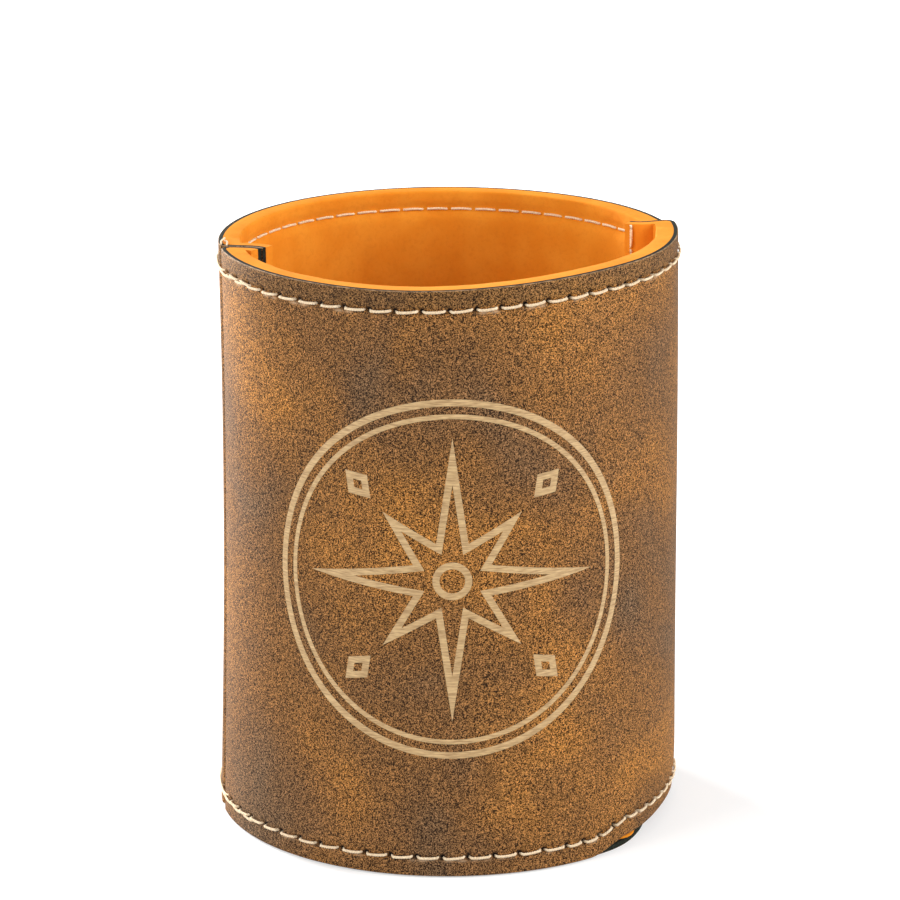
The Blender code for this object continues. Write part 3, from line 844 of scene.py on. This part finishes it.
def make_band(name, band, material):
    """One closed line of the engraving, as a thin layer that hugs the cover's face."""
    outer, inner = band
    across = 4
    data = bmesh.new()
    loops = [[data.verts.new(on_cover(point, -EMBLEM_SUNK)) for point in outer]]
    for step in range(across + 1):
        share = step / across
        line = [(a[0] + (b[0] - a[0]) * share, a[1] + (b[1] - a[1]) * share) for a, b in zip(outer, inner)]
        loops.append([data.verts.new(on_cover(point, EMBLEM_RISE)) for point in line])
    loops.append([data.verts.new(on_cover(point, -EMBLEM_SUNK)) for point in inner])
    for first, second in zip(loops, loops[1:] + loops[:1]):
        bridge(data, first, second, closed=True)
    bmesh.ops.recalc_face_normals(data, faces=data.faces)
    item = new_object(name, data, [material])
    item.data.set_sharp_from_angle(angle=math.radians(40))


def make_emblem(material):
    make_band("emblem_ring", ring_band(EMBLEM_RADIUS, EMBLEM_LINE), material)
    make_band("emblem_inner_ring", ring_band(EMBLEM_RADIUS - EMBLEM_RING_STEP, EMBLEM_THIN_LINE), material)
    make_band("emblem_star", outline_band(star_corners(), EMBLEM_LINE), material)
    make_band("emblem_hub", ring_band(EMBLEM_HUB, EMBLEM_LINE), material)
    for index in range(4):
        band = outline_band(diamond_corners(math.pi / 4 + index * math.pi / 2), EMBLEM_LINE)
        make_band(f"emblem_diamond_{index + 1}", band, material)


# Materials


class Nodes:
    """A short way to write a material's node tree."""

    def __init__(self, name):
        self.material = bpy.data.materials.new(name)
        self.material.use_nodes = True
        self.tree = self.material.node_tree
        self.shader = self.tree.nodes["Principled BSDF"]
        self.place = self.tree.nodes.new("ShaderNodeTexCoord").outputs["Object"]

    def link(self, value, socket):
        if isinstance(value, bpy.types.NodeSocket):
            self.tree.links.new(value, socket)
        else:
            socket.default_value = value

    def noise(self, scale, detail=2.0, roughness=0.5, distortion=0.0, place=None):
        node = self.tree.nodes.new("ShaderNodeTexNoise")
        self.tree.links.new(place or self.place, node.inputs["Vector"])
        node.inputs["Scale"].default_value = scale
        node.inputs["Detail"].default_value = detail
        node.inputs["Roughness"].default_value = roughness
        node.inputs["Distortion"].default_value = distortion
        return node.outputs["Fac"]

    def stretched(self, x, y, z):
        node = self.tree.nodes.new("ShaderNodeMapping")
        self.tree.links.new(self.place, node.inputs["Vector"])
        node.inputs["Scale"].default_value = (x, y, z)
        return node.outputs["Vector"]

    def attribute(self, name):
        node = self.tree.nodes.new("ShaderNodeAttribute")
        node.attribute_name = name
        return node.outputs["Fac"]

    def ramp(self, value, stops):
        node = self.tree.nodes.new("ShaderNodeValToRGB")
        self.link(value, node.inputs["Fac"])
        elements = node.color_ramp.elements
        while len(elements) < len(stops):
            elements.new(0.5)
        for element, (position, colour) in zip(elements, stops):
            element.position = position
            element.color = (*colour, 1.0)
        return node.outputs["Color"]

    def span(self, value, low, high, out_low=0.0, out_high=1.0):
        node = self.tree.nodes.new("ShaderNodeMapRange")
        self.link(value, node.inputs["Value"])
        node.inputs["From Min"].default_value = low
        node.inputs["From Max"].default_value = high
        node.inputs["To Min"].default_value = out_low
        node.inputs["To Max"].default_value = out_high
        return node.outputs["Result"]

    def mix(self, share, first, second, kind="MIX"):
        node = self.tree.nodes.new("ShaderNodeMix")
        node.data_type = "RGBA"
        node.blend_type = kind
        self.link(share, node.inputs["Factor"])
        self.link(first, node.inputs["A"])
        self.link(second, node.inputs["B"])
        return node.outputs["Result"]

    def math(self, operation, first, second=0.0):
        node = self.tree.nodes.new("ShaderNodeMath")
        node.operation = operation
        self.link(first, node.inputs[0])
        self.link(second, node.inputs[1])
        return node.outputs["Value"]

    def bump(self, height, distance, strength=1.0, normal=None):
        node = self.tree.nodes.new("ShaderNodeBump")
        self.link(height, node.inputs["Height"])
        node.inputs["Distance"].default_value = distance
        node.inputs["Strength"].default_value = strength
        if normal:
            self.tree.links.new(normal, node.inputs["Normal"])
        return node.outputs["Normal"]

    def set(self, **sockets):
        """Sets or links the shader's sockets, named in lower case, and gives the material."""
        for name, value in sockets.items():
            self.link(value, self.shader.inputs[name.replace("_", " ").title().replace("Ior", "IOR")])
        return self.material


def leatherette_face(name):
    """Mottled brown leatherette: slow clouds of orange and grey-brown under a fine dark speckle."""
    made = Nodes(name)
    clouds = made.noise(36.0, detail=2.0, roughness=0.5, distortion=0.4)
    smaller = made.noise(130.0, detail=3.0, roughness=0.6)
    base = made.ramp(clouds, (
        (0.30, (0.104, 0.060, 0.030)),
        (0.40, (0.134, 0.065, 0.024)),
        (0.46, (0.155, 0.071, 0.022)),
        (0.56, (0.190, 0.084, 0.022)),
        (0.68, (0.262, 0.112, 0.024)),
    ))
    base = made.mix(made.span(smaller, 0.35, 0.65, 0.0, 0.35), base, (0.125, 0.063, 0.026, 1.0))
    speckle = made.noise(5600.0, detail=1.0, roughness=0.5)
    coarse = made.noise(2300.0, detail=1.0)
    speckle_share = made.span(speckle, 0.30, 0.74, -0.9, 3.4)
    grain = made.math("ADD", speckle_share, made.span(coarse, 0.3, 0.7, -0.6, 0.6))
    grain = made.math("MAXIMUM", grain, 0.08)
    colour = made.mix(1.0, base, grain, "MULTIPLY")
    # Painted shade: the strip above the top row is darkened
    colour = made.mix(made.attribute("painted_rim_shade"), colour, (0.70, 0.76, 0.90, 1.0), "MULTIPLY")
    # Painted sheen: pale patches below the stitches
    colour = made.mix(made.math("MULTIPLY", made.attribute("painted_sheen"), 0.7), colour, (0.56, 0.38, 0.23, 1.0))
    # Painted shade: the needle holes are darkened nearly to black
    colour = made.mix(made.span(made.attribute("hole"), 0.1, 0.75), colour, (0.010, 0.006, 0.004, 1.0))
    normal = made.bump(speckle, 0.00004, 0.5)
    normal = made.bump(made.noise(700.0, detail=3.0), 0.00008, 0.3, normal)
    return made.set(base_color=colour, roughness=0.66, specular_ior_level=0.12, normal=normal)


def leatherette_edge(name):
    """The cut edge and back of the leatherette: a dark green-black cloth backing."""
    made = Nodes(name)
    fibres = made.noise(3000.0, detail=3.0, roughness=0.7)
    colour = made.ramp(fibres, ((0.3, (0.005, 0.007, 0.005)), (0.7, (0.024, 0.028, 0.020))))
    normal = made.bump(fibres, 0.00006, 0.6)
    return made.set(base_color=colour, roughness=0.85, specular_ior_level=0.1, normal=normal)


def cut_skin(name):
    """The pale line of the face's own thickness at a cut edge."""
    made = Nodes(name)
    worn = made.noise(900.0, detail=3.0, roughness=0.7)
    colour = made.ramp(worn, ((0.38, (0.10, 0.055, 0.025)), (0.62, (0.36, 0.22, 0.11))))
    return made.set(base_color=colour, roughness=0.7, specular_ior_level=0.25)


def orange_foam(name):
    """Dyed foam with fine pores, a little uneven in colour."""
    made = Nodes(name)
    pores = made.noise(1500.0, detail=3.0, roughness=0.65)
    tint = made.noise(160.0, detail=2.0)
    colour = made.ramp(tint, ((0.35, (0.70, 0.230, 0.014)), (0.65, (0.75, 0.275, 0.022))))
    colour = made.mix(made.span(pores, 0.3, 0.5, 0.25, 0.0), colour, (0.55, 0.14, 0.01, 1.0))
    normal = made.bump(pores, 0.00008, 0.5)
    return made.set(base_color=colour, roughness=0.9, specular_ior_level=0.12, normal=normal)


def cream_thread(name):
    """Matt cream thread with darker fibres."""
    made = Nodes(name)
    fibres = made.noise(4200.0, detail=3.0, roughness=0.7)
    colour = made.ramp(fibres, ((0.3, (0.62, 0.42, 0.23)), (0.6, (0.86, 0.72, 0.52))))
    normal = made.bump(fibres, 0.00004, 0.5)
    return made.set(base_color=colour, roughness=0.8, specular_ior_level=0.2, normal=normal)


def engraved_layer(name):
    """The light layer under the leatherette's face, with the fine streaks that the laser leaves."""
    made = Nodes(name)
    streaks = made.noise(1.0, detail=3.0, roughness=0.6, place=made.stretched(500.0, 500.0, 5200.0))
    colour = made.ramp(streaks, (
        (0.32, (0.30, 0.180, 0.075)),
        (0.5, (0.47, 0.305, 0.138)),
        (0.68, (0.62, 0.425, 0.210)),
    ))
    return made.set(base_color=colour, roughness=0.6, normal=made.bump(streaks, 0.00003, 0.4))


# Stage


def make_camera():
    camera = bpy.data.objects.new("camera", bpy.data.cameras.new("camera"))
    bpy.context.scene.collection.objects.link(camera)
    right = Vector((math.cos(CAMERA_YAW), math.sin(CAMERA_YAW), 0.0))
    away = Vector((math.sin(CAMERA_YAW), -math.cos(CAMERA_YAW), 0.0))
    camera.location = away * CAMERA_DISTANCE + right * CAMERA_SIDE + Vector((0, 0, CAMERA_HEIGHT))
    camera.rotation_euler = (math.pi / 2 - CAMERA_PITCH, 0.0, CAMERA_YAW)
    camera.data.lens = CAMERA_LENS
    camera.data.sensor_width = 36.0
    camera.data.clip_start = 0.01
    bpy.context.scene.camera = camera


def area_light(name, place_from, size, power):
    """A softbox that points at the sleeve."""
    light = bpy.data.lights.new(name, "AREA")
    light.shape = "RECTANGLE"
    light.size, light.size_y = size
    light.energy = power
    item = bpy.data.objects.new(name, light)
    item.location = place_from
    item.rotation_euler = (Vector((0, 0, 0.05)) - Vector(place_from)).to_track_quat("-Z", "Y").to_euler()
    bpy.context.scene.collection.objects.link(item)


def make_floor():
    """A plain pale floor, whose glow for the camera rises with the distance to the background's white."""
    data = bmesh.new()
    bmesh.ops.create_grid(data, x_segments=1, y_segments=1, size=6.0)
    mesh = bpy.data.meshes.new("floor")
    data.to_mesh(mesh)
    data.free()
    floor = bpy.data.objects.new("floor", mesh)
    floor.location.z = -0.00002
    bpy.context.scene.collection.objects.link(floor)
    made = Nodes("floor")
    seen = made.tree.nodes.new("ShaderNodeLightPath").outputs["Is Camera Ray"]
    distance = made.tree.nodes.new("ShaderNodeVectorMath")
    distance.operation = "LENGTH"
    made.link(made.place, distance.inputs[0])
    glow = made.span(distance.outputs["Value"], 0.2, 0.8, FLOOR_GLOW, 1.0)
    made.set(base_color=(0.6, 0.6, 0.6, 1.0), roughness=0.9, specular_ior_level=0.1)
    made.set(emission_color=(1.0, 1.0, 1.0, 1.0))
    made.link(made.math("MULTIPLY", seen, glow), made.shader.inputs["Emission Strength"])
    mesh.materials.append(made.material)


def make_world():
    """A white background for the camera and for mirrored rays, and a soft light for everything else."""
    world = bpy.data.worlds.new("world")
    bpy.context.scene.world = world
    world.use_nodes = True
    tree = world.node_tree
    background = tree.nodes["Background"]
    background.inputs["Color"].default_value = (1.0, 1.0, 1.0, 1.0)
    rays = tree.nodes.new("ShaderNodeLightPath").outputs
    seen = rays["Is Camera Ray"]
    for name in ("Is Glossy Ray", "Is Transmission Ray"):
        either = tree.nodes.new("ShaderNodeMath")
        either.operation = "MAXIMUM"
        tree.links.new(seen, either.inputs[0])
        tree.links.new(rays[name], either.inputs[1])
        seen = either.outputs["Value"]
    strength = tree.nodes.new("ShaderNodeMapRange")
    strength.inputs["To Min"].default_value = WORLD_LIGHT
    strength.inputs["To Max"].default_value = 1.0
    tree.links.new(seen, strength.inputs["Value"])
    tree.links.new(strength.outputs["Result"], background.inputs["Strength"])


def main():
    scene = bpy.context.scene
    scene.view_settings.view_transform = "Standard"
    make_camera()
    make_world()
    make_floor()
    area_light("left_softbox", (-0.93, -0.40, 0.45), (0.5, 0.7), 8.5)
    area_light("left_rim_softbox", (-0.60, 0.88, 0.36), (0.4, 0.8), 28.0)
    area_light("right_softbox", (0.88, -0.45, 0.45), (0.5, 0.7), 12.0)
    area_light("top_softbox", (0.0, -0.1, 1.2), (0.8, 0.8), 1.4)
    leather = leatherette_face("leatherette_face")
    edge = leatherette_edge("leatherette_edge")
    skin = cut_skin("cut_skin")
    foam = orange_foam("orange_foam")
    cream = cream_thread("cream_thread")
    for panel_name, panel in (("front", FRONT), ("back", BACK)):
        make_cover(f"{panel_name}_cover", panel, [leather, edge, skin])
        make_lining(f"{panel_name}_lining", panel, foam)
        for row_name, row in (("top", TOP_ROW), ("bottom", BOTTOM_ROW)):
            needle_row(f"{panel_name}_{row_name}_thread", panel, row, cream)
            bobbin_row(f"{panel_name}_{row_name}_bobbin", panel, row, cream)
    make_base(leather, edge, foam)
    seam_row("left_seam_thread", -1, BACK, cream)
    seam_row("right_seam_thread", 1, FRONT, cream)
    make_emblem(engraved_layer("engraved_layer"))


main()
